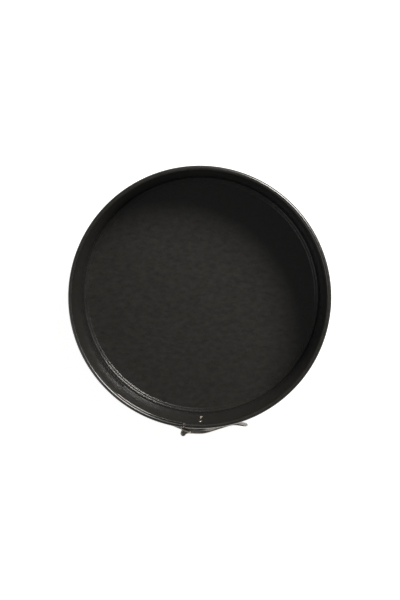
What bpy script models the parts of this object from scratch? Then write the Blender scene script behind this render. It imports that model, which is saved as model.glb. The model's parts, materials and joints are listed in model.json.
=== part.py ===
"""Springform pan, 24 cm: a loose base plate and a sprung steel ring closed by an over-centre latch.

Metres, +Z up. The origin is on the pan's axis, in the plane of the base's underside.
The latch is at -Y. The ring is one strip whose ends overlap there: the right side's end lies
inside, the left side's end lies outside and stops just left of the latch bracket.
"""

import math

import bmesh
import bpy
from mathutils import Matrix, Vector

# Driving dimensions
HEIGHT = 0.065
RIM_RADIUS = 0.125
SHEET = 0.0006
GAP = 0.0003
BASE_RADIUS = 0.1212
BASE_SHEET = 0.0008
BASE_STEP = 0.0014
FLOOR_RADIUS = 0.1159
FLANGE_INNER_RADIUS = 0.1181
WALL_RADIUS = 0.1203
LAYER_STEP = SHEET + GAP
FULL_STEP = math.radians(5)

# Ends of the strip, as angles about +Z from +X
SEAM_ANGLE = math.radians(90)
INNER_END_ANGLE = math.radians(-130.3)
OUTER_END_ANGLE = math.radians(-97.2)
CURL_END_ANGLE = math.radians(-96.2)
TAB_START_ANGLE = math.radians(-96.7)
TAB_TOP = HEIGHT - 0.0012
CURL_SWEEP = math.radians(320)
CURL_STEPS = 8
CURL_BASE = 0.0600
TAB_FOOT = 0.0026
SHOULDER = 0.0046
LIP = 0.0015
BEAD = 0.0020

# Latch
LATCH_HEIGHT = 0.039
RIVET_SPACING = 0.0225
PIVOT = Vector((-0.0159, -0.1312))
THROW = 0.007
THROW_ANGLE = math.radians(15)
PLATE = 0.001
PIN_RADIUS = 0.0013
KNUCKLE_RADIUS = 0.0021
WIRE_RADIUS = 0.0011
EAR_INNER = 0.0142
EAR_RADIUS = 0.0026
LUG_INNER = 0.0128
WIRE_HALF_SPAN = EAR_INNER + PLATE + WIRE_RADIUS + 0.0004
LEVER_HALF_HEIGHT = LUG_INNER + 0.0004
LEVER_TIP_HALF_HEIGHT = 0.0085
BAR_X = -0.034
HOOK_SLACK = 0.0014
HOOK_HEIGHT = 0.0028
ANCHOR_LEFT_ANGLE = math.radians(-116)
ANCHOR_RIVET_ANGLE = math.radians(-112.3)
FULCRUM_ANGLES = (math.radians(-96.0), math.radians(-85.8))
RIVET_ANGLE = math.radians(-90)
RIVET_SHANK = 0.0014
RIVET_HEAD = 0.0027
RIVET_HEAD_RISE = 0.0011

FULCRUM_RADIUS = WALL_RADIUS + SHEET / 2 + GAP + PLATE / 2
ANCHOR_RADIUS = FULCRUM_RADIUS + LAYER_STEP
BAR_RADIUS = ANCHOR_RADIUS + PLATE / 2 + GAP + WIRE_RADIUS
BAR = Vector((BAR_X, -math.sqrt(BAR_RADIUS**2 - BAR_X**2)))
THROW_POINT = PIVOT + THROW * Vector((math.cos(THROW_ANGLE), math.sin(THROW_ANGLE)))


def clear_scene():
    for thing in list(bpy.data.objects):
        bpy.data.objects.remove(thing, do_unlink=True)


def material(name, color, metallic, roughness):
    made = bpy.data.materials.new(name)
    made.use_nodes = True
    shader = made.node_tree.nodes["Principled BSDF"]
    shader.inputs["Base Color"].default_value = (*color, 1)
    shader.inputs["Metallic"].default_value = metallic
    shader.inputs["Roughness"].default_value = roughness
    return made


def object_from(name, corners, faces, finish=None):
    """One closed body from its corners and faces, with its faces turned outwards."""
    mesh = bpy.data.meshes.new(name)
    mesh.from_pydata([tuple(corner) for corner in corners], [], faces)
    work = bmesh.new()
    work.from_mesh(mesh)
    bmesh.ops.recalc_face_normals(work, faces=work.faces)
    work.to_mesh(mesh)
    work.free()
    mesh.shade_smooth()
    mesh.set_sharp_from_angle(angle=math.radians(35))
    thing = bpy.data.objects.new(name, mesh)
    bpy.context.scene.collection.objects.link(thing)
    if finish:
        mesh.materials.append(finish)
    return thing


def arc(center, radius, start, end, steps):
    angles = [start + (end - start) * i / steps for i in range(steps + 1)]
    return [Vector((center[0] + radius * math.cos(a), center[1] + radius * math.sin(a))) for a in angles]


def smooth(points, steps):
    """A Catmull-Rom curve through the points."""
    ends = [2 * points[0] - points[1], *points, 2 * points[-1] - points[-2]]
    curve = []
    for a, b, c, d in zip(ends, ends[1:], ends[2:], ends[3:]):
        for i in range(steps):
            t = i / steps
            bend = (2 * a - 5 * b + 4 * c - d) * t**2 + (3 * b - a - 3 * c + d) * t**3
            curve.append(0.5 * (2 * b + (c - a) * t + bend))
    return [*curve, points[-1]]


def two_sides(path, thickness):
    """The left and right side of a sheet whose middle follows a flat path."""
    left, right = [], []
    for i, point in enumerate(path):
        before = (point - path[max(i - 1, 0)]).normalized()
        after = (path[min(i + 1, len(path) - 1)] - point).normalized()
        along = (before + after).normalized()
        half = thickness / 2 / max(along.dot(after if i == 0 else before), 0.5)
        across = Vector((-along.y, along.x)) * half
        left.append(point + across)
        right.append(point - across)
    return left, right


def strip_solid(name, stations, finish):
    """A bent strip: each station holds its section's left and right side as 3-D points."""
    count = len(stations[0][0])
    corners = [corner for left, right in stations for corner in (*left, *right)]

    def at(station, side, i):
        return (2 * station + side) * count + i

    faces = []
    for s in range(len(stations) - 1):
        for i in range(count - 1):
            for side in (0, 1):
                faces.append((at(s, side, i), at(s, side, i + 1), at(s + 1, side, i + 1), at(s + 1, side, i)))
        for i in (0, count - 1):
            faces.append((at(s, 0, i), at(s, 1, i), at(s + 1, 1, i), at(s + 1, 0, i)))
    for s in (0, len(stations) - 1):
        for i in range(count - 1):
            faces.append((at(s, 0, i), at(s, 0, i + 1), at(s, 1, i + 1), at(s, 1, i)))
    return object_from(name, corners, faces, finish)


def turned(name, profile, steps, finish=None):
    """A solid of revolution about Z. The profile's first and last point lie on the axis."""
    corners = [Vector((0, 0, profile[0][1])), Vector((0, 0, profile[-1][1]))]
    rings = profile[1:-1]
    for radius, z in rings:
        for k in range(steps):
            turn = 2 * math.pi * k / steps
            corners.append(Vector((radius * math.cos(turn), radius * math.sin(turn), z)))
    faces = []
    for k in range(steps):
        after = (k + 1) % steps
        faces.append((0, 2 + k, 2 + after))
        faces.append((1, 2 + (len(rings) - 1) * steps + after, 2 + (len(rings) - 1) * steps + k))
        for j in range(len(rings) - 1):
            low, high = 2 + j * steps, 2 + (j + 1) * steps
            faces.append((low + k, high + k, high + after, low + after))
    return object_from(name, corners, faces, finish)


def prism(name, outline, low, high, finish=None):
    """A flat outline in the XY plane, given a thickness along Z."""
    count = len(outline)
    corners = [Vector((p.x, p.y, z)) for z in (low, high) for p in outline]
    faces = [tuple(range(count)), tuple(range(count, 2 * count))]
    faces += [(i, (i + 1) % count, count + (i + 1) % count, count + i) for i in range(count)]
    return object_from(name, corners, faces, finish)


def hull(points):
    """The convex outline round flat points, counter-clockwise."""
    ordered = sorted(points, key=lambda p: (p.x, p.y))
    outline = []
    for row in (ordered, ordered[::-1]):
        side = []
        for p in row:
            while len(side) > 1 and (side[-1] - side[-2]).cross(p - side[-1]) <= 0:
                side.pop()
            side.append(p)
        outline += side[:-1]
    return outline


def rod(name, radius, center, low, high, finish=None):
    """A vertical pin or a cutter for its hole."""
    made = turned(name, [(0, high), (radius, high), (radius, low), (0, low)], 20, finish)
    made.data.transform(Matrix.Translation((center.x, center.y, 0)))
    return made


def combine(target, other, operation):
    """A Boolean with a helper that is left out of the model."""
    other.hide_render = True
    other.display_type = "WIRE"
    cut = target.modifiers.new(other.name, "BOOLEAN")
    cut.operation = operation
    cut.solver = "EXACT"
    cut.object = other


def radial(thing, angle, z):
    """Turns a solid made along +Z so that it points out of the wall at this angle and height."""
    turn = Matrix.Rotation(angle, 4, "Z") @ Matrix.Rotation(math.radians(90), 4, "Y")
    thing.data.transform(Matrix.Translation((0, 0, z)) @ turn)


def wall_section(radius):
    """The middle of the strip's section as (r, z): foot groove, wall and rolled rim."""
    foot = [(LIP, 0.0002), (BEAD, 0.0012), (BEAD, 0.0020), (LIP, 0.0029), (0.0005, 0.0037), (0, SHOULDER)]
    path = [Vector((radius + out, z)) for out, z in foot]
    roll = (RIM_RADIUS - SHEET / 2 - radius) / 2
    middle = (radius + roll, HEIGHT - SHEET / 2 - roll)
    return path + arc(middle, roll, math.pi, math.pi - CURL_SWEEP, CURL_STEPS)


def tab_section(radius, foot_out=0):
    """The inner end's section: left flat, so that it slides inside the other end."""
    foot = [Vector((radius + foot_out, TAB_FOOT + (SHOULDER - TAB_FOOT) * i / 5)) for i in range(6)]
    top = [CURL_BASE + (TAB_TOP - CURL_BASE) * i / CURL_STEPS for i in range(CURL_STEPS + 1)]
    return foot + [Vector((radius, z)) for z in top]


def cut_section(radius):
    """The foot at the cut between the groove and the flat tab, still clear of the base's edge."""
    return tab_section(radius, LIP)


def wall_station(angle, radius, section=wall_section):
    sides = two_sides(section(radius), SHEET)
    return [[Vector((p.x * math.cos(angle), p.x * math.sin(angle), p.y)) for p in side] for side in sides]


def steps_between(start, end):
    count = math.ceil(abs(end - start) / FULL_STEP)
    return [start + (end - start) * i / count for i in range(count + 1)]


def left_radius(angle):
    """The left side widens smoothly from the rear, so that its end lies outside the right side's end."""
    t = min((angle - SEAM_ANGLE) / math.radians(110), 1)
    return WALL_RADIUS + LAYER_STEP * t * t * (3 - 2 * t)


def rivet_cutter(name, angle, z):
    cutter = turned(name, [(0, 0.130), (0.0017, 0.130), (0.0017, 0.116), (0, 0.116)], 20)
    radial(cutter, angle, z)
    return cutter


def rivet_heights():
    return {"upper": LATCH_HEIGHT + RIVET_SPACING / 2, "lower": LATCH_HEIGHT - RIVET_SPACING / 2}


def drill_rivet_holes(thing, angle):
    for place, z in rivet_heights().items():
        combine(thing, rivet_cutter(f"hole_{thing.name}_{place}", angle, z), "DIFFERENCE")


def build_base(coat):
    flange_low = BASE_STEP
    flange_high = BASE_STEP + BASE_SHEET
    bend = 0.0004
    top = [(0, BASE_SHEET), (FLOOR_RADIUS, BASE_SHEET), (FLOOR_RADIUS + 2 * bend, BASE_SHEET + bend)]
    top += [(FLANGE_INNER_RADIUS - bend, flange_high - bend / 2), (FLANGE_INNER_RADIUS + bend, flange_high)]
    edge = [(BASE_RADIUS - bend, flange_high), (BASE_RADIUS, flange_high - bend), (BASE_RADIUS, flange_low)]
    under = [(FLANGE_INNER_RADIUS + bend, flange_low), (FLOOR_RADIUS + 2 * bend, 0), (0, 0)]
    turned("base_plate", top + edge + under, 72, coat)


def build_band_right(coat):
    curl = [wall_station(a, WALL_RADIUS) for a in steps_between(SEAM_ANGLE - seam_half(), CURL_END_ANGLE)]
    cut = wall_station((CURL_END_ANGLE + TAB_START_ANGLE) / 2, WALL_RADIUS, cut_section)
    tab_turns = steps_between(TAB_START_ANGLE, INNER_END_ANGLE)
    tab = [wall_station(a, WALL_RADIUS, tab_section) for a in tab_turns]
    band = strip_solid("band_right", [*curl, cut, *tab], coat)
    drill_rivet_holes(band, RIVET_ANGLE)


def build_band_left(coat):
    end = OUTER_END_ANGLE + 2 * math.pi
    turns = steps_between(SEAM_ANGLE + seam_half(), end)
    band = strip_solid("band_left", [wall_station(a, left_radius(a)) for a in turns], coat)
    drill_rivet_holes(band, ANCHOR_RIVET_ANGLE)


def seam_half():
    return GAP / 2 / WALL_RADIUS


def upright(path, thickness, low, high):
    """Stations of a strip that stands on edge: its plan follows the path."""
    sides = two_sides(path, thickness)
    return [[[Vector((p.x, p.y, z)) for p in side] for side in sides] for z in (low, high)]


def build_fulcrum_bracket(metal):
    half = EAR_INNER + 0.6 * PLATE
    path = arc((0, 0), FULCRUM_RADIUS, *FULCRUM_ANGLES, 6)
    stations = upright(path, PLATE, LATCH_HEIGHT - half, LATCH_HEIGHT + half)
    bracket = strip_solid("fulcrum_bracket", stations, metal)
    roots = [Vector((x, -math.sqrt(FULCRUM_RADIUS**2 - x * x))) for x in (-0.0120, -0.0060)]
    outline = hull(roots + arc(PIVOT, EAR_RADIUS, 0, 2 * math.pi * 19 / 20, 19))
    for name, low in (("upper", EAR_INNER), ("lower", -EAR_INNER - PLATE)):
        ear = prism(f"ear_{name}", outline, LATCH_HEIGHT + low, LATCH_HEIGHT + low + PLATE)
        combine(bracket, ear, "UNION")
    reach = EAR_INNER + 2 * PLATE
    hole = rod("hole_pivot", PIN_RADIUS + GAP, PIVOT, LATCH_HEIGHT - reach, LATCH_HEIGHT + reach)
    combine(bracket, hole, "DIFFERENCE")
    drill_rivet_holes(bracket, RIVET_ANGLE)


def build_anchor_bracket(metal):
    """A curved plate whose right edge is turned out into a hook."""
    bar_angle = math.atan2(BAR.y, BAR.x)
    hook_angle = bar_angle + (WIRE_RADIUS + HOOK_SLACK + PLATE / 2) / BAR_RADIUS
    out = Vector((math.cos(hook_angle), math.sin(hook_angle)))
    bend = 0.0009
    flat = arc((0, 0), ANCHOR_RADIUS, ANCHOR_LEFT_ANGLE, hook_angle - bend / ANCHOR_RADIUS, 7)
    hook = [out * (ANCHOR_RADIUS + bend), out * (ANCHOR_RADIUS + PLATE / 2 + HOOK_HEIGHT)]
    corner = out * (ANCHOR_RADIUS + bend * 0.27) - Vector((-out.y, out.x)) * bend * 0.27
    stations = upright([*flat, corner, *hook], PLATE, LATCH_HEIGHT - 0.0150, LATCH_HEIGHT + 0.0150)
    bracket = strip_solid("anchor_bracket", stations, metal)
    drill_rivet_holes(bracket, ANCHOR_RIVET_ANGLE)


def lever_path():
    """Plan of the lever: a knuckle rolled round the pivot, a straight run, and a tip that flares out."""
    start = math.radians(-30)
    knuckle = arc(PIVOT, KNUCKLE_RADIUS, start - math.radians(290), start, 14)
    run_y = PIVOT.y - 0.0002
    leave = knuckle[-1]
    control = Vector((leave.x + (run_y - leave.y) / math.tan(math.radians(60)), run_y))
    join = Vector((PIVOT.x + 0.0046, run_y))
    blend = [leave.lerp(control, t).lerp(control.lerp(join, t), t) for t in (0.25, 0.5, 0.75)]
    body = [join, Vector((0.004, run_y)), Vector((0.0200, -0.1272))]
    body += [Vector((0.0330, -0.1241)), Vector((0.0465, -0.1254))]
    return [*knuckle, *blend, *smooth(body, 6)]


def lever_half_height(x):
    """Full height at the pivot, a taper along the run, and a rounded tip."""
    t = min(max((x - 0.002) / 0.030, 0), 1)
    half = LEVER_HALF_HEIGHT + (LEVER_TIP_HALF_HEIGHT - LEVER_HALF_HEIGHT) * t * t * (3 - 2 * t)
    corner = 0.0050
    past = max(x - (0.0465 - corner), 0)
    return half - corner + math.sqrt(max(corner**2 - past**2, (0.2 * corner) ** 2))


def build_lever(metal):
    path = lever_path()
    sides = two_sides(path, PLATE)
    stations = []
    for sign in (-1, 1):
        heights = [LATCH_HEIGHT + sign * lever_half_height(p.x) for p in path]
        stations.append([[Vector((p.x, p.y, z)) for p, z in zip(side, heights)] for side in sides])
    lever = strip_solid("lever", stations, metal)
    run_y = PIVOT.y - 0.0002
    feet = [Vector((THROW_POINT.x + x, run_y)) for x in (-0.0032, 0.0036)]
    outline = hull(feet + arc(THROW_POINT, 0.0026, 0, 2 * math.pi * 19 / 20, 19))
    for name, low in (("upper", LUG_INNER), ("lower", -LUG_INNER - PLATE)):
        lug = prism(f"lug_{name}", outline, LATCH_HEIGHT + low, LATCH_HEIGHT + low + PLATE)
        combine(lever, lug, "UNION")
    hole = rod("hole_throw", WIRE_RADIUS + GAP, THROW_POINT, LATCH_HEIGHT - 0.02, LATCH_HEIGHT + 0.02)
    combine(lever, hole, "DIFFERENCE")


def build_bail(metal):
    """A wire loop: its two feet turn into the lever's lugs and its far side is the bar that hooks on."""
    along = (BAR - THROW_POINT).normalized()
    turn = 0.0024
    span = WIRE_HALF_SPAN

    def in_plane(distance, height):
        place = THROW_POINT + along * distance
        return (place.x, place.y, LATCH_HEIGHT + height)

    reach = (BAR - THROW_POINT).length
    route = [(0, LUG_INNER - 0.0006)]
    route += [tuple(p) for p in arc((turn, span - turn), turn, math.pi, math.pi / 2, 4)]
    route += [tuple(p) for p in arc((reach - turn, span - turn), turn, math.pi / 2, 0, 4)]
    route += [(distance, -height) for distance, height in reversed(route)]
    curve = bpy.data.curves.new("bail", "CURVE")
    curve.dimensions = "3D"
    curve.bevel_depth = WIRE_RADIUS
    curve.bevel_resolution = 2
    curve.use_fill_caps = True
    spline = curve.splines.new("POLY")
    spline.points.add(len(route) - 1)
    for point, place in zip(spline.points, route):
        point.co = (*in_plane(*place), 1)
    curve.materials.append(metal)
    thing = bpy.data.objects.new("bail", curve)
    bpy.context.scene.collection.objects.link(thing)


def dome(base, sign):
    """Half the outline of a rivet head, from its rim to the axis."""
    steps = 4
    turns = [math.pi / 2 * i / steps for i in range(steps + 1)]
    rim = [(RIVET_HEAD * math.cos(t), base + sign * RIVET_HEAD_RISE * math.sin(t)) for t in turns[:-1]]
    return [*rim, (0, base + sign * RIVET_HEAD_RISE)]


def build_rivets(metal):
    """Fulcrum rivets have a head on each side. Anchor rivets are flush inside, where the inner layer slides."""
    inner = WALL_RADIUS - SHEET / 2 - GAP
    fulcrum_outer = FULCRUM_RADIUS + PLATE / 2 + GAP
    anchor_outer = ANCHOR_RADIUS + PLATE / 2 + GAP
    anchor_inner = WALL_RADIUS + LAYER_STEP - SHEET / 2 + 0.0001
    for place, z in rivet_heights().items():
        through = dome(fulcrum_outer, 1)[::-1] + [(RIVET_SHANK, fulcrum_outer), (RIVET_SHANK, inner)]
        radial(turned(f"fulcrum_rivet_{place}", through + dome(inner, -1), 20, metal), RIVET_ANGLE, z)
        flush = dome(anchor_outer, 1)[::-1] + [(RIVET_SHANK, anchor_outer)]
        flush += [(RIVET_SHANK, anchor_inner), (0, anchor_inner)]
        radial(turned(f"anchor_rivet_{place}", flush, 20, metal), ANCHOR_RIVET_ANGLE, z)


def main():
    clear_scene()
    coat = material("nonstick_coat", (0.035, 0.034, 0.032), 0.3, 0.45)
    metal = material("tinned_steel", (0.60, 0.57, 0.53), 1.0, 0.32)
    build_base(coat)
    build_band_right(coat)
    build_band_left(coat)
    build_fulcrum_bracket(metal)
    build_anchor_bracket(metal)
    build_lever(metal)
    build_bail(metal)
    build_rivets(metal)
    ends = EAR_INNER + PLATE
    rod("pivot_pin", PIN_RADIUS, PIVOT, LATCH_HEIGHT - ends, LATCH_HEIGHT + ends, metal)


main()
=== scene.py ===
"""Looks of the springform pan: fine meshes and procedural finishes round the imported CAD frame.

Metres, +Z up, latch towards -Y. The sheet parts are rebuilt with fillets and a fine rolled rim.
"""

import json
import math

import bmesh
import bpy
from mathutils import Matrix, Vector


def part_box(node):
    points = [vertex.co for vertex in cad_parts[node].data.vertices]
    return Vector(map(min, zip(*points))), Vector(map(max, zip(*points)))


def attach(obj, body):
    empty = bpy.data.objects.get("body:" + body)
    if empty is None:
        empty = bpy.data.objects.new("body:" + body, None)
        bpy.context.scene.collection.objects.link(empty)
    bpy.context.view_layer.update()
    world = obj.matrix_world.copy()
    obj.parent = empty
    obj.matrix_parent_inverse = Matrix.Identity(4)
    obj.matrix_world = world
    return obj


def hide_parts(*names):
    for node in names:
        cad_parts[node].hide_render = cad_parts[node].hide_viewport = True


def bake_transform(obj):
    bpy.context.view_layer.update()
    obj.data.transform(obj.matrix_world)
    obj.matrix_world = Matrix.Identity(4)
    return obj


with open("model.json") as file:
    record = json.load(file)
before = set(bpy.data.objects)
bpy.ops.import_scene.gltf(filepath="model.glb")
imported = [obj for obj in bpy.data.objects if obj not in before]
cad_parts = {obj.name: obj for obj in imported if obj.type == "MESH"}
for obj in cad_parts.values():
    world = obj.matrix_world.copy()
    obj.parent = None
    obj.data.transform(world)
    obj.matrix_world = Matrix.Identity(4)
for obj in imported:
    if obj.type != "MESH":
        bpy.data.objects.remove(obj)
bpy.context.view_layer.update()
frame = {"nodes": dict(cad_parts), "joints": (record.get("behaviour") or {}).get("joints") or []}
JOINTS = {joint["name"]: joint for joint in frame["joints"]}


def radii(node):
    """The smallest and largest distance of a CAD node's corners from the pan's axis."""
    found = [math.hypot(v.co.x, v.co.y) for v in frame["nodes"][node].data.vertices]
    return min(found), max(found)


# Sheet and ring
SHEET = 0.0006
GAP = 0.0003
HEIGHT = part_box("band_left")[1].z
RIM_RADIUS = radii("band_right")[1]
WALL_RADIUS = radii("band_right")[0] + SHEET / 2
BASE_RADIUS = radii("base_plate")[1]
BASE_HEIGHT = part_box("base_plate")[1].z
BASE_SHEET = 0.0008
FLOOR_RADIUS = 0.1159
FLANGE_INNER_RADIUS = 0.1181
RISER = 0.0006  # how far out each of the base's two small steps runs
EDGE_REACH = 0.0002  # the base's edge stands this far past the CAD's, to close the view through the foot
LIP_REACH = 0.0012  # from the wall's middle out to the lower lip, all round
LAYER_STEP = SHEET + GAP
TAB_TOP = HEIGHT - 0.0012
TAB_FOOT = BASE_HEIGHT + 0.0004
TURN_STEP = math.radians(1.25)
REAR_START = math.radians(60)
REAR_END = math.radians(120)
INNER_END_ANGLE = math.radians(-130.3)
OUTER_END_ANGLE = math.radians(262.8)
CURL_END_ANGLE = math.radians(-96.4)
CURL_SWEEP = math.radians(325)

# Latch
PLATE = 0.001
PIVOT = Vector(JOINTS["lever_swing"]["pos_m"][:2])
THROW_POINT = Vector(JOINTS["bail_swing"]["pos_m"][:2])
LATCH_HEIGHT = JOINTS["lever_swing"]["pos_m"][2]
RIVET_SPACING = 0.0225
KNUCKLE_RADIUS = 0.0021
WIRE_RADIUS = 0.0011
PIN_RADIUS = 0.0013
EAR_INNER = 0.0142
EAR_RADIUS = 0.0026
LEVER_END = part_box("lever")[1].x
BAR_X = -0.034
KNUCKLE_STEPS = 36
LEVER_HALF = 0.0132
TIP_HALF = 0.0085
TIP_CORNER = 0.0050
FLANGE_DEEP = 0.0042
FLANGE_SHALLOW = 0.0009
ANCHOR_HALF = 0.015
SHANK_RADIUS = 0.0014
SHANK_BURIED = 0.0015
BAIL_BEND = 0.0026
BAIL_CLEARANCE = 0.0004
FULCRUM_RADIUS = WALL_RADIUS + SHEET / 2 + GAP + PLATE / 2
ANCHOR_RADIUS = FULCRUM_RADIUS + LAYER_STEP
BAR_RADIUS = ANCHOR_RADIUS + PLATE / 2 + GAP + WIRE_RADIUS
BAR = Vector((BAR_X, -math.sqrt(BAR_RADIUS**2 - BAR_X**2)))
HOOK_SLACK = 0.0014
HOOK_HEIGHT = 0.0028
ANCHOR_LEFT_ANGLE = math.radians(-116)
ANCHOR_RIVET_ANGLE = math.radians(-112.3)
FULCRUM_ANGLES = (math.radians(-96.0), math.radians(-85.8))
RIVET_ANGLE = math.radians(-90)


# Meshes

def arc(center, radius, start, end, steps):
    angles = [start + (end - start) * i / steps for i in range(steps + 1)]
    return [Vector((center[0] + radius * math.cos(a), center[1] + radius * math.sin(a))) for a in angles]


def smooth(points, steps):
    """A Catmull-Rom curve through the points."""
    ends = [2 * points[0] - points[1], *points, 2 * points[-1] - points[-2]]
    curve = []
    for a, b, c, d in zip(ends, ends[1:], ends[2:], ends[3:]):
        for i in range(steps):
            t = i / steps
            bend = (2 * a - 5 * b + 4 * c - d) * t**2 + (3 * b - a - 3 * c + d) * t**3
            curve.append(0.5 * (2 * b + (c - a) * t + bend))
    return [*curve, points[-1]]


def ramp(value, start, length):
    """0 before start, 1 from start + length on, and a straight line between."""
    return min(max((value - start) / length, 0), 1)


def filleted(points, radius, steps=4):
    """The polyline with each inner corner replaced by a short curve."""
    path = [points[0]]
    for before, corner, after in zip(points, points[1:], points[2:]):
        reach = min(radius, (corner - before).length * 0.45, (after - corner).length * 0.45)
        start = corner + (before - corner).normalized() * reach
        end = corner + (after - corner).normalized() * reach
        for i in range(steps + 1):
            t = i / steps
            path.append(start.lerp(corner, t).lerp(corner.lerp(end, t), t))
    return [*path, points[-1]]


def two_sides(path, thickness):
    """The left and right side of a sheet whose middle follows a flat path."""
    left, right = [], []
    for i, point in enumerate(path):
        before = (point - path[max(i - 1, 0)]).normalized()
        after = (path[min(i + 1, len(path) - 1)] - point).normalized()
        along = (before + after).normalized()
        half = thickness / 2 / max(along.dot(after if i == 0 else before), 0.5)
        across = Vector((-along.y, along.x)) * half
        left.append(point + across)
        right.append(point - across)
    return left, right


def outline_of(path, thickness):
    """The closed outline of the sheet, with rounded cut edges."""
    left, right = two_sides(path, thickness)
    first = (path[0] - path[1]).normalized() * thickness * 0.3
    last = (path[-1] - path[-2]).normalized() * thickness * 0.3
    return [*left, left[-1].lerp(right[-1], 0.5) + last, *right[::-1], right[0].lerp(left[0], 0.5) + first]


def piece_from(name, corners, faces, finish, sharp=30):
    mesh = bpy.data.meshes.new(name)
    mesh.from_pydata([tuple(corner) for corner in corners], [], faces)
    work = bmesh.new()
    work.from_mesh(mesh)
    bmesh.ops.remove_doubles(work, verts=work.verts, dist=1e-7)
    bmesh.ops.recalc_face_normals(work, faces=work.faces)
    work.to_mesh(mesh)
    work.free()
    mesh.shade_smooth()
    mesh.set_sharp_from_angle(angle=math.radians(sharp))
    thing = bpy.data.objects.new(name, mesh)
    bpy.context.scene.collection.objects.link(thing)
    mesh.materials.append(finish)
    return thing


def swept(name, sections, finish):
    """A closed strip: each section is the outline of a sheet, as outline_of gives it, in 3-D."""
    count = len(sections[0])
    corners = [corner for section in sections for corner in section]
    faces = []
    for s in range(len(sections) - 1):
        here, there = s * count, (s + 1) * count
        for i in range(count):
            j = (i + 1) % count
            faces.append((here + i, here + j, there + j, there + i))
    half = count // 2
    for start in (0, (len(sections) - 1) * count):
        for i in range(half - 2):
            faces.append((start + i, start + i + 1, start + count - 3 - i, start + count - 2 - i))
        faces.append((start, start + count - 2, start + count - 1))
        faces.append((start + half - 2, start + half - 1, start + half))
    return piece_from(name, corners, faces, finish)


def turned(name, profile, steps, finish):
    """A solid of revolution about Z. The profile's first and last point lie on the axis."""
    corners = [Vector((0, 0, profile[0][1])), Vector((0, 0, profile[-1][1]))]
    rings = profile[1:-1]
    for radius, z in rings:
        for k in range(steps):
            turn = 2 * math.pi * k / steps
            corners.append(Vector((radius * math.cos(turn), radius * math.sin(turn), z)))
    last = 2 + (len(rings) - 1) * steps
    faces = []
    for k in range(steps):
        after = (k + 1) % steps
        faces.append((0, 2 + k, 2 + after))
        faces.append((1, last + after, last + k))
        for j in range(len(rings) - 1):
            low, high = 2 + j * steps, 2 + (j + 1) * steps
            faces.append((low + k, high + k, high + after, low + after))
    return piece_from(name, corners, faces, finish)


def prism(name, outline, low, high, finish):
    count = len(outline)
    corners = [Vector((p.x, p.y, z)) for z in (low, high) for p in outline]
    faces = [tuple(range(count)), tuple(range(count, 2 * count))]
    faces += [(i, (i + 1) % count, count + (i + 1) % count, count + i) for i in range(count)]
    return piece_from(name, corners, faces, finish)


def hull(points):
    """The convex outline round flat points, counter-clockwise."""
    ordered = sorted(points, key=lambda p: (p.x, p.y))
    outline = []
    for row in (ordered, ordered[::-1]):
        side = []
        for p in row:
            while len(side) > 1 and (side[-1] - side[-2]).cross(p - side[-1]) <= 0:
                side.pop()
            side.append(p)
        outline += side[:-1]
    return outline


def applied(thing):
    """Turns the modifiers into mesh."""
    graph = bpy.context.evaluated_depsgraph_get()
    mesh = bpy.data.meshes.new_from_object(thing.evaluated_get(graph))
    thing.modifiers.clear()
    thing.data = mesh
    return thing


def bevelled(thing, width=0.00018):
    """Rounds the sheet's cut edges a little."""
    edge = thing.modifiers.new("edges", "BEVEL")
    edge.width = width
    edge.segments = 2
    edge.limit_method = "ANGLE"
    edge.angle_limit = math.radians(40)
    applied(thing)
    thing.data.shade_smooth()
    thing.data.set_sharp_from_angle(angle=math.radians(50))
    return thing


def joined(target, other):
    """Adds the other solid to the target and removes it."""
    union = target.modifiers.new("joined", "BOOLEAN")
    union.operation = "UNION"
    union.solver = "EXACT"
    union.object = other
    applied(target)
    bpy.data.objects.remove(other, do_unlink=True)


# Materials

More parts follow.
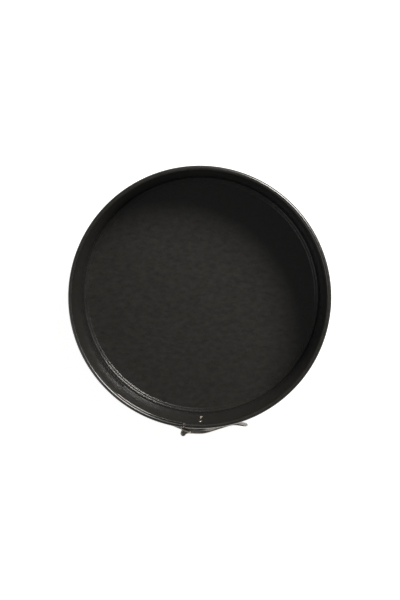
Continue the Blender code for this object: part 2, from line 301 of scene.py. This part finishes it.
class Nodes:
    """A short way to write a node tree round a Principled BSDF."""

    def __init__(self, name):
        self.material = bpy.data.materials.new(name)
        self.material.use_nodes = True
        self.tree = self.material.node_tree
        self.shader = self.tree.nodes["Principled BSDF"]
        self.place = self.add("ShaderNodeTexCoord").outputs["Object"]

    def add(self, kind, **values):
        node = self.tree.nodes.new(kind)
        for key, value in values.items():
            setattr(node, key, value)
        return node

    def link(self, output, target):
        self.tree.links.new(output, target)

    def noise(self, scale, detail=2, roughness=0.5, stretch=(1, 1, 1)):
        mapping = self.add("ShaderNodeMapping")
        mapping.inputs["Scale"].default_value = stretch
        self.link(self.place, mapping.inputs["Vector"])
        node = self.add("ShaderNodeTexNoise")
        node.inputs["Scale"].default_value = scale
        node.inputs["Detail"].default_value = detail
        node.inputs["Roughness"].default_value = roughness
        self.link(mapping.outputs["Vector"], node.inputs["Vector"])
        return node.outputs["Fac"]

    def remap(self, value, low, high, to_low, to_high):
        node = self.add("ShaderNodeMapRange")
        for socket, number in zip(("From Min", "From Max", "To Min", "To Max"), (low, high, to_low, to_high)):
            node.inputs[socket].default_value = number
        self.link(value, node.inputs["Value"])
        return node.outputs["Result"]

    def math(self, operation, a, b):
        node = self.add("ShaderNodeMath", operation=operation)
        for socket, value in zip(node.inputs, (a, b)):
            if isinstance(value, (int, float)):
                socket.default_value = value
            else:
                self.link(value, socket)
        return node.outputs[0]

    def mix(self, factor, a, b):
        node = self.add("ShaderNodeMix", data_type="RGBA")
        for socket, value in zip((node.inputs[6], node.inputs[7]), (a, b)):
            if isinstance(value, tuple):
                socket.default_value = (*value, 1)
            else:
                self.link(value, socket)
        self.link(factor, node.inputs[0])
        return node.outputs[2]

    def seam(self, radius, half_width, top):
        """1 in a thin ring round the pan's axis below the height top, 0 elsewhere: the mask of the painted
        shade in the crease between the base's flange and the ring's wall.
        """
        flat = self.add("ShaderNodeMapping")
        flat.inputs["Scale"].default_value = (1, 1, 0)
        self.link(self.place, flat.inputs["Vector"])
        length = self.add("ShaderNodeVectorMath", operation="LENGTH")
        self.link(flat.outputs["Vector"], length.inputs[0])
        away = self.math("ABSOLUTE", self.math("SUBTRACT", length.outputs["Value"], radius), 0)
        near = self.remap(away, half_width * 0.6, half_width, 1, 0)
        parts = self.add("ShaderNodeSeparateXYZ")
        self.link(self.place, parts.inputs[0])
        below = self.remap(parts.outputs["Z"], top, top + 0.0003, 1, 0)
        return self.math("MULTIPLY", near, below)

    def bump(self, height, strength, distance, normal=None):
        node = self.add("ShaderNodeBump")
        node.inputs["Strength"].default_value = strength
        node.inputs["Distance"].default_value = distance
        self.link(height, node.inputs["Height"])
        if normal:
            self.link(normal, node.inputs["Normal"])
        return node.outputs["Normal"]


def nonstick():
    """Near-black coating with a thin clear coat: orange peel, faint clouds, pale flecks, and a near-black
    ring of painted shade in the crease round the base's flange.
    """
    n = Nodes("nonstick_coat")
    grain = n.noise(1500, 3, 0.6)
    cloud = n.noise(260, 3, 0.65, (0.55, 1, 1))
    fleck = n.remap(n.noise(1100, 2), 0.60, 0.74, 0, 1)
    tone = n.mix(n.remap(cloud, 0.3, 0.7, 0, 1), (0.0130, 0.0121, 0.0105), (0.0215, 0.0203, 0.0178))
    color = n.mix(n.math("MULTIPLY", fleck, 0.40), tone, (0.060, 0.057, 0.052))
    # Painted shade: the crease between the base's flange and the ring's wall is coloured near-black, and made
    # rougher, standing in for the shadow there.
    seam = n.seam(FLANGE_INNER_RADIUS + 0.0016, 0.0007, BASE_HEIGHT + 0.0003)
    n.link(n.mix(seam, color, (0.0015, 0.0014, 0.0013)), n.shader.inputs["Base Color"])
    n.shader.inputs["Specular IOR Level"].default_value = 0.55
    n.shader.inputs["Coat Weight"].default_value = 0.7
    n.shader.inputs["Coat Roughness"].default_value = 0.13
    rough = n.math("ADD", n.remap(cloud, 0.3, 0.7, 0.29, 0.36), n.remap(grain, 0.3, 0.7, -0.04, 0.04))
    n.link(n.math("MAXIMUM", rough, n.math("MULTIPLY", seam, 0.95)), n.shader.inputs["Roughness"])
    peel = n.bump(n.noise(420, 2), 0.35, 0.00012)
    n.link(n.bump(grain, 0.30, 0.00006, peel), n.shader.inputs["Normal"])
    return n.material


def tinned():
    """Warm grey tinned steel with faint clouds and a fine grain."""
    n = Nodes("tinned_steel")
    cloud = n.noise(160, 4, 0.6)
    grain = n.noise(700, 3, 0.6, (1, 1, 9))
    color = n.mix(n.remap(cloud, 0.35, 0.65, 0, 1), (0.38, 0.343, 0.298), (0.50, 0.456, 0.402))
    n.link(color, n.shader.inputs["Base Color"])
    n.shader.inputs["Metallic"].default_value = 1.0
    rough = n.math("ADD", n.remap(cloud, 0.3, 0.7, 0.26, 0.40), n.remap(grain, 0.3, 0.7, -0.05, 0.05))
    n.link(rough, n.shader.inputs["Roughness"])
    n.link(n.bump(grain, 0.25, 0.00005), n.shader.inputs["Normal"])
    return n.material


COAT = nonstick()
METAL = tinned()


def finish_piece(thing, body, slot, *nodes):
    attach(thing, body)
    if nodes:
        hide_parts(*nodes)


# Ring

def foot_path(radius):
    """The ring's foot, from its lower lip up to the plain wall. It bulges out round the base's edge."""
    lip = WALL_RADIUS + LIP_REACH - radius
    points = [(lip, 0.0002), (0.0020, 0.0011), (0.0020, 0.0021)]
    points += [(0.0014, 0.0031), (0.0002, 0.0040), (0, 0.0056)]
    return filleted([Vector((radius + out, z)) for out, z in points], 0.0009, 3)


def wall_section(radius):
    """Foot, wall and rolled rim."""
    roll = (RIM_RADIUS - SHEET / 2 - radius) / 2
    middle = (radius + roll, HEIGHT - SHEET / 2 - roll)
    return foot_path(radius) + arc(middle, roll, math.pi, math.pi - CURL_SWEEP, 30)


def tab_section(radius):
    """The inner end is flat, with no foot or roll, so that it slides inside the outer end."""
    return [Vector((radius, TAB_FOOT)), Vector((radius, TAB_FOOT + 0.002)), Vector((radius, TAB_TOP))]


def around(outline, angle):
    return [Vector((p.x * math.cos(angle), p.x * math.sin(angle), p.y)) for p in outline]


def turns_between(start, end):
    count = math.ceil(abs(end - start) / TURN_STEP)
    return [start + (end - start) * i / count for i in range(count + 1)]


def left_radius(angle):
    """The left side widens smoothly from the rear, so that its end lies outside the right side's end."""
    t = ramp(angle, math.radians(90), math.radians(110))
    return WALL_RADIUS + LAYER_STEP * t * t * (3 - 2 * t)


def build_ring_part(name, start, end, section=wall_section):
    turns = turns_between(start, end)
    return swept(name, [around(outline_of(section(left_radius(a)), SHEET), a) for a in turns], COAT)


def build_ring():
    right = build_ring_part("ring_right_side", REAR_START, CURL_END_ANGLE)
    finish_piece(right, "ring", "nonstick_coat", "band_right")
    tab = build_ring_part("ring_inner_end", CURL_END_ANGLE, INNER_END_ANGLE, tab_section)
    finish_piece(tab, "ring", "nonstick_coat")
    left = build_ring_part("ring_left_side", REAR_END, OUTER_END_ANGLE)
    finish_piece(left, "ring_left", "nonstick_coat", "band_left")
    rear = build_ring_part("ring_rear", REAR_START, REAR_END)
    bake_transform(rear)


# Base

def build_base():
    """A pressed disc: the flat floor rises to the flange in two small steps."""
    low = BASE_HEIGHT - BASE_SHEET
    edge = BASE_RADIUS + EDGE_REACH
    ledge = (BASE_SHEET + BASE_HEIGHT) / 2
    half = RISER / 2
    top = [(0, BASE_SHEET), (FLOOR_RADIUS - half, BASE_SHEET), (FLOOR_RADIUS + half, ledge)]
    top += [(FLANGE_INNER_RADIUS - half, ledge), (FLANGE_INNER_RADIUS + half, BASE_HEIGHT)]
    top += [(edge, BASE_HEIGHT)]
    under = [(edge, low), (FLANGE_INNER_RADIUS + 0.0006, low), (FLOOR_RADIUS + 0.0012, 0), (0, 0)]
    path = filleted([Vector(p) for p in top], 0.0003, 4) + filleted([Vector(p) for p in under], 0.0006, 4)
    rings = [Vector((path[1].x * i / 6, BASE_SHEET)) for i in range(1, 6)]
    base = turned("base", [path[0], *rings, *path[1:]], 288, COAT)
    finish_piece(base, "base", "nonstick_coat", "base_plate")


# Latch

def upright(path, thickness, low, high, rows=2):
    outline = outline_of(path, thickness)
    levels = [low + (high - low) * i / (rows - 1) for i in range(rows)]
    return [[Vector((p.x, p.y, z)) for p in outline] for z in levels]


def radial(thing, angle, z):
    """Turns a solid made along +Z so that it points out of the wall at this angle and height."""
    turn = Matrix.Rotation(angle, 4, "Z") @ Matrix.Rotation(math.radians(90), 4, "Y")
    thing.data.transform(Matrix.Translation((0, 0, z)) @ turn)


def build_fulcrum():
    """A plate riveted to the inner end, with an upper and a lower ear that hold the pin."""
    half = EAR_INNER + 0.6 * PLATE
    web_path = arc((0, 0), FULCRUM_RADIUS, *FULCRUM_ANGLES, 24)
    web = swept("bracket", upright(web_path, PLATE, LATCH_HEIGHT - half, LATCH_HEIGHT + half), METAL)
    roots = [Vector((x, -math.sqrt(FULCRUM_RADIUS**2 - x * x))) for x in (-0.0120, -0.0060)]
    outline = hull(roots + arc(PIVOT, EAR_RADIUS, 0, 2 * math.pi * 47 / 48, 47))
    for low in (EAR_INNER, -EAR_INNER - PLATE):
        joined(web, prism("ear", outline, LATCH_HEIGHT + low, LATCH_HEIGHT + low + PLATE, METAL))
    bevelled(web)
    finish_piece(web, "ring", "tinned_steel", "fulcrum_bracket")


def build_anchor():
    """A plate riveted to the outer end, turned out at its right edge into the low hook that holds the bar."""
    bar_angle = math.atan2(BAR.y, BAR.x)
    hook_angle = bar_angle + (WIRE_RADIUS + HOOK_SLACK + PLATE / 2) / BAR_RADIUS
    out = Vector((math.cos(hook_angle), math.sin(hook_angle)))
    flat = arc((0, 0), ANCHOR_RADIUS, ANCHOR_LEFT_ANGLE, hook_angle - 0.0020 / ANCHOR_RADIUS, 24)
    tip = out * (ANCHOR_RADIUS + PLATE / 2 + HOOK_HEIGHT)
    turn = filleted([flat[-1], out * ANCHOR_RADIUS, tip], 0.0014, 8)
    low, high = LATCH_HEIGHT - ANCHOR_HALF, LATCH_HEIGHT + ANCHOR_HALF
    plate = swept("anchor", upright([*flat, *turn[1:]], PLATE, low, high), METAL)
    bevelled(plate)
    finish_piece(plate, "ring_left", "tinned_steel", "anchor_bracket")


def lever_path():
    """Plan of the lever: a knuckle rolled round the pivot, a straight run, and a tip that flares out."""
    start = math.radians(-30)
    knuckle = arc(PIVOT, KNUCKLE_RADIUS, start - math.radians(290), start, KNUCKLE_STEPS)
    run_y = PIVOT.y - 0.0002
    leave = knuckle[-1]
    control = Vector((leave.x + (run_y - leave.y) / math.tan(math.radians(60)), run_y))
    join = Vector((PIVOT.x + 0.0046, run_y))
    blend = [leave.lerp(control, i / 6).lerp(control.lerp(join, i / 6), i / 6) for i in range(1, 6)]
    body = [join, Vector((0.004, run_y)), Vector((0.0200, -0.1272))]
    body += [Vector((0.0330, -0.1241)), Vector((LEVER_END, -0.1254))]
    return [*knuckle, *blend, *smooth(body, 18)]


def lever_half_height(x):
    """Half the lever's height at x: it narrows smoothly towards the tip, whose corners are round."""
    t = ramp(x, 0.002, 0.030)
    half = LEVER_HALF + (TIP_HALF - LEVER_HALF) * t * t * (3 - 2 * t)
    past = max(x - (LEVER_END - TIP_CORNER), 0)
    return half - TIP_CORNER + math.sqrt(max(TIP_CORNER**2 - past**2, (0.06 * TIP_CORNER) ** 2))


def flange_depth(x):
    """How far the lever's long edges are turned in towards the wall."""
    rise = ramp(x, THROW_POINT.x - 0.0034, 0.0022)
    fade = ramp(x, THROW_POINT.x + 0.0030, 0.0200)
    tip = 1 - ramp(x, LEVER_END - 0.014, 0.008)
    deep = FLANGE_DEEP + (FLANGE_SHALLOW - FLANGE_DEEP) * fade * fade * (3 - 2 * fade)
    return deep * rise * rise * (3 - 2 * rise) * tip


def lever_rows(path):
    """The cross-section at each station: flange, corner, face, corner, flange, in the sheet's middle."""
    rows = []
    for i, point in enumerate(path):
        along = (path[min(i + 1, len(path) - 1)] - path[max(i - 1, 0)]).normalized()
        inward = Vector((-along.y, along.x))
        half = lever_half_height(point.x)
        deep = flange_depth(point.x) if i > KNUCKLE_STEPS else 0
        bend = min(0.0010, deep * 0.9 + 0.00005)
        section = [Vector((half, deep)), Vector((half, bend))]
        section += arc((half - bend, bend), bend, 0, -math.pi / 2, 4)[1:]
        side = [(p.x, p.y) for p in section]
        flat = [(side[-1][0] * (1 - k / 4), 0) for k in range(1, 4)]
        half_row = side + flat
        row = half_row + [(0, 0)] + [(-z, d) for z, d in reversed(half_row)]
        rows.append([Vector((*(point + inward * d), LATCH_HEIGHT + z)) for z, d in row])
    return rows


def build_lever():
    rows = lever_rows(lever_path())
    width = len(rows[0])
    corners = [corner for row in rows for corner in row]
    faces = []
    for s in range(len(rows) - 1):
        for i in range(width - 1):
            here, there = s * width + i, (s + 1) * width + i
            faces.append((here, here + 1, there + 1, there))
    lever = piece_from("latch_lever", corners, faces, METAL)
    sheet = lever.modifiers.new("sheet", "SOLIDIFY")
    sheet.thickness = PLATE * 0.95
    sheet.offset = 0
    applied(lever)
    bevelled(lever, 0.00022)
    finish_piece(lever, "latch_lever", "tinned_steel", "lever")


def build_bail():
    """A wire bent round the ears: its ends enter the lever's flanges, and the hook holds its bar."""
    along = (BAR - THROW_POINT).normalized()
    reach = (BAR - THROW_POINT).length
    span = EAR_INNER + PLATE + WIRE_RADIUS + BAIL_CLEARANCE
    corner = span - BAIL_BEND
    route = [Vector((0, 0.0120)), Vector((0, 0.0136))]
    route += arc((BAIL_BEND, corner), BAIL_BEND, math.pi, math.pi / 2, 10)
    route += arc((reach - BAIL_BEND, corner), BAIL_BEND, math.pi / 2, 0, 10)
    route += [Vector((p.x, -p.y)) for p in reversed(route)]
    curve = bpy.data.curves.new("bail_wire", "CURVE")
    curve.dimensions = "3D"
    curve.bevel_depth = WIRE_RADIUS
    curve.bevel_resolution = 6
    curve.use_fill_caps = True
    spline = curve.splines.new("POLY")
    spline.points.add(len(route) - 1)
    for point, place in zip(spline.points, route):
        flat = THROW_POINT + along * place.x
        point.co = (flat.x, flat.y, LATCH_HEIGHT + place.y, 1)
    wire = bpy.data.objects.new("bail_wire", curve)
    bpy.context.scene.collection.objects.link(wire)
    graph = bpy.context.evaluated_depsgraph_get()
    mesh = bpy.data.meshes.new_from_object(wire.evaluated_get(graph))
    bpy.data.objects.remove(wire, do_unlink=True)
    bail = bpy.data.objects.new("bail_loop", mesh)
    bpy.context.scene.collection.objects.link(bail)
    mesh.materials.clear()
    mesh.materials.append(METAL)
    mesh.shade_smooth()
    mesh.set_sharp_from_angle(angle=math.radians(50))
    finish_piece(bail, "latch_bail", "tinned_steel", "bail")


def head(base, sign, radius=0.0027, rise=0.0011):
    """A rivet head's outline from its rim to the axis: a short straight edge under a low dome."""
    edge = [(radius, base), (radius, base + sign * rise * 0.25)]
    steps = 8
    turns = [math.pi / 2 * i / steps for i in range(1, steps)]
    rim = [(radius * math.cos(t), base + sign * rise * (0.25 + 0.75 * math.sin(t))) for t in turns]
    return [*edge, *rim, (0, base + sign * rise)]


def build_rivets():
    heights = {"upper": LATCH_HEIGHT + RIVET_SPACING / 2, "lower": LATCH_HEIGHT - RIVET_SPACING / 2}
    inner = WALL_RADIUS - SHEET / 2
    for place, z in heights.items():
        outer = FULCRUM_RADIUS + PLATE / 2
        profile = head(outer, 1)[::-1] + [(SHANK_RADIUS, outer), (SHANK_RADIUS, inner)] + head(inner, -1)
        rivet = turned(f"rivet_right_{place}", profile, 40, METAL)
        radial(rivet, RIVET_ANGLE, z)
        finish_piece(rivet, "ring", "tinned_steel", f"fulcrum_rivet_{place}")
        outer = ANCHOR_RADIUS + PLATE / 2
        foot = outer - SHANK_BURIED
        flush = head(outer, 1)[::-1] + [(SHANK_RADIUS, outer), (SHANK_RADIUS, foot), (0, foot)]
        rivet = turned(f"rivet_left_{place}", flush, 40, METAL)
        radial(rivet, ANCHOR_RIVET_ANGLE, z)
        finish_piece(rivet, "ring_left", "tinned_steel", f"anchor_rivet_{place}")


def build_pin():
    end = EAR_INNER + PLATE
    profile = head(end, 1, 0.0018, 0.0003)[::-1] + [(PIN_RADIUS, end), (PIN_RADIUS, -end)]
    pin = turned("pin", profile + head(-end, -1, 0.0018, 0.0003), 40, METAL)
    pin.data.transform(Matrix.Translation((PIVOT.x, PIVOT.y, LATCH_HEIGHT)))
    finish_piece(pin, "ring", "tinned_steel", "pivot_pin")


# Stage, light and camera

def build_stage():
    n = Nodes("pale_floor")
    n.link(n.mix(n.noise(3, 2), (0.93, 0.93, 0.92), (0.96, 0.96, 0.95)), n.shader.inputs["Base Color"])
    n.shader.inputs["Roughness"].default_value = 0.8
    n.shader.inputs["Emission Color"].default_value = (1, 1, 1, 1)
    n.shader.inputs["Emission Strength"].default_value = 0.85
    side = 4.0
    drop = -0.0003
    corners = [(-side, -side, drop), (side, -side, drop), (side, side, drop), (-side, side, drop)]
    floor = piece_from("floor", corners, [(0, 1, 2, 3)], n.material)


def area_light(name, place, target, size, power, color=(1, 1, 1)):
    data = bpy.data.lights.new(name, "AREA")
    data.shape = "DISK"
    data.size = size
    data.energy = power
    data.color = color
    lamp = bpy.data.objects.new(name, data)
    lamp.location = place
    lamp.rotation_euler = (Vector(target) - Vector(place)).to_track_quat("-Z", "Y").to_euler()
    bpy.context.scene.collection.objects.link(lamp)


def build_lights():
    area_light("key", (0.70, 0.84, 1.10), (0, 0, 0.02), 0.70, 28, (1, 0.97, 0.92))
    area_light("fill", (-1.1, -0.6, 1.3), (0, 0, 0.02), 1.2, 3)
    world = bpy.data.worlds.new("studio")
    bpy.context.scene.world = world
    world.use_nodes = True
    sky = world.node_tree.nodes["Background"]
    sky.inputs["Color"].default_value = (1, 1, 1, 1)
    sky.inputs["Strength"].default_value = 0.10


def build_camera():
    """Looks almost straight down, from a little behind the middle, and a little to the right."""
    eye = Vector((0.0185, 0.0329, HEIGHT + 0.812))
    target = Vector((0.0006, -0.0019, HEIGHT))
    data = bpy.data.cameras.new("camera")
    data.sensor_fit = "HORIZONTAL"
    data.sensor_width = 36
    data.lens = 77.45
    camera = bpy.data.objects.new("camera", data)
    back = (eye - target).normalized()
    right = Vector((0, 1, 0)).cross(back).normalized()
    axes = Matrix((right, back.cross(right), back)).transposed()
    camera.matrix_world = Matrix.Translation(eye) @ axes.to_4x4()
    bpy.context.scene.collection.objects.link(camera)
    bpy.context.scene.camera = camera


build_camera()
build_stage()
build_lights()
build_base()
build_ring()
build_fulcrum()
build_anchor()
build_lever()
build_bail()
build_rivets()
build_pin()
bpy.context.scene.view_settings.view_transform = "Standard"
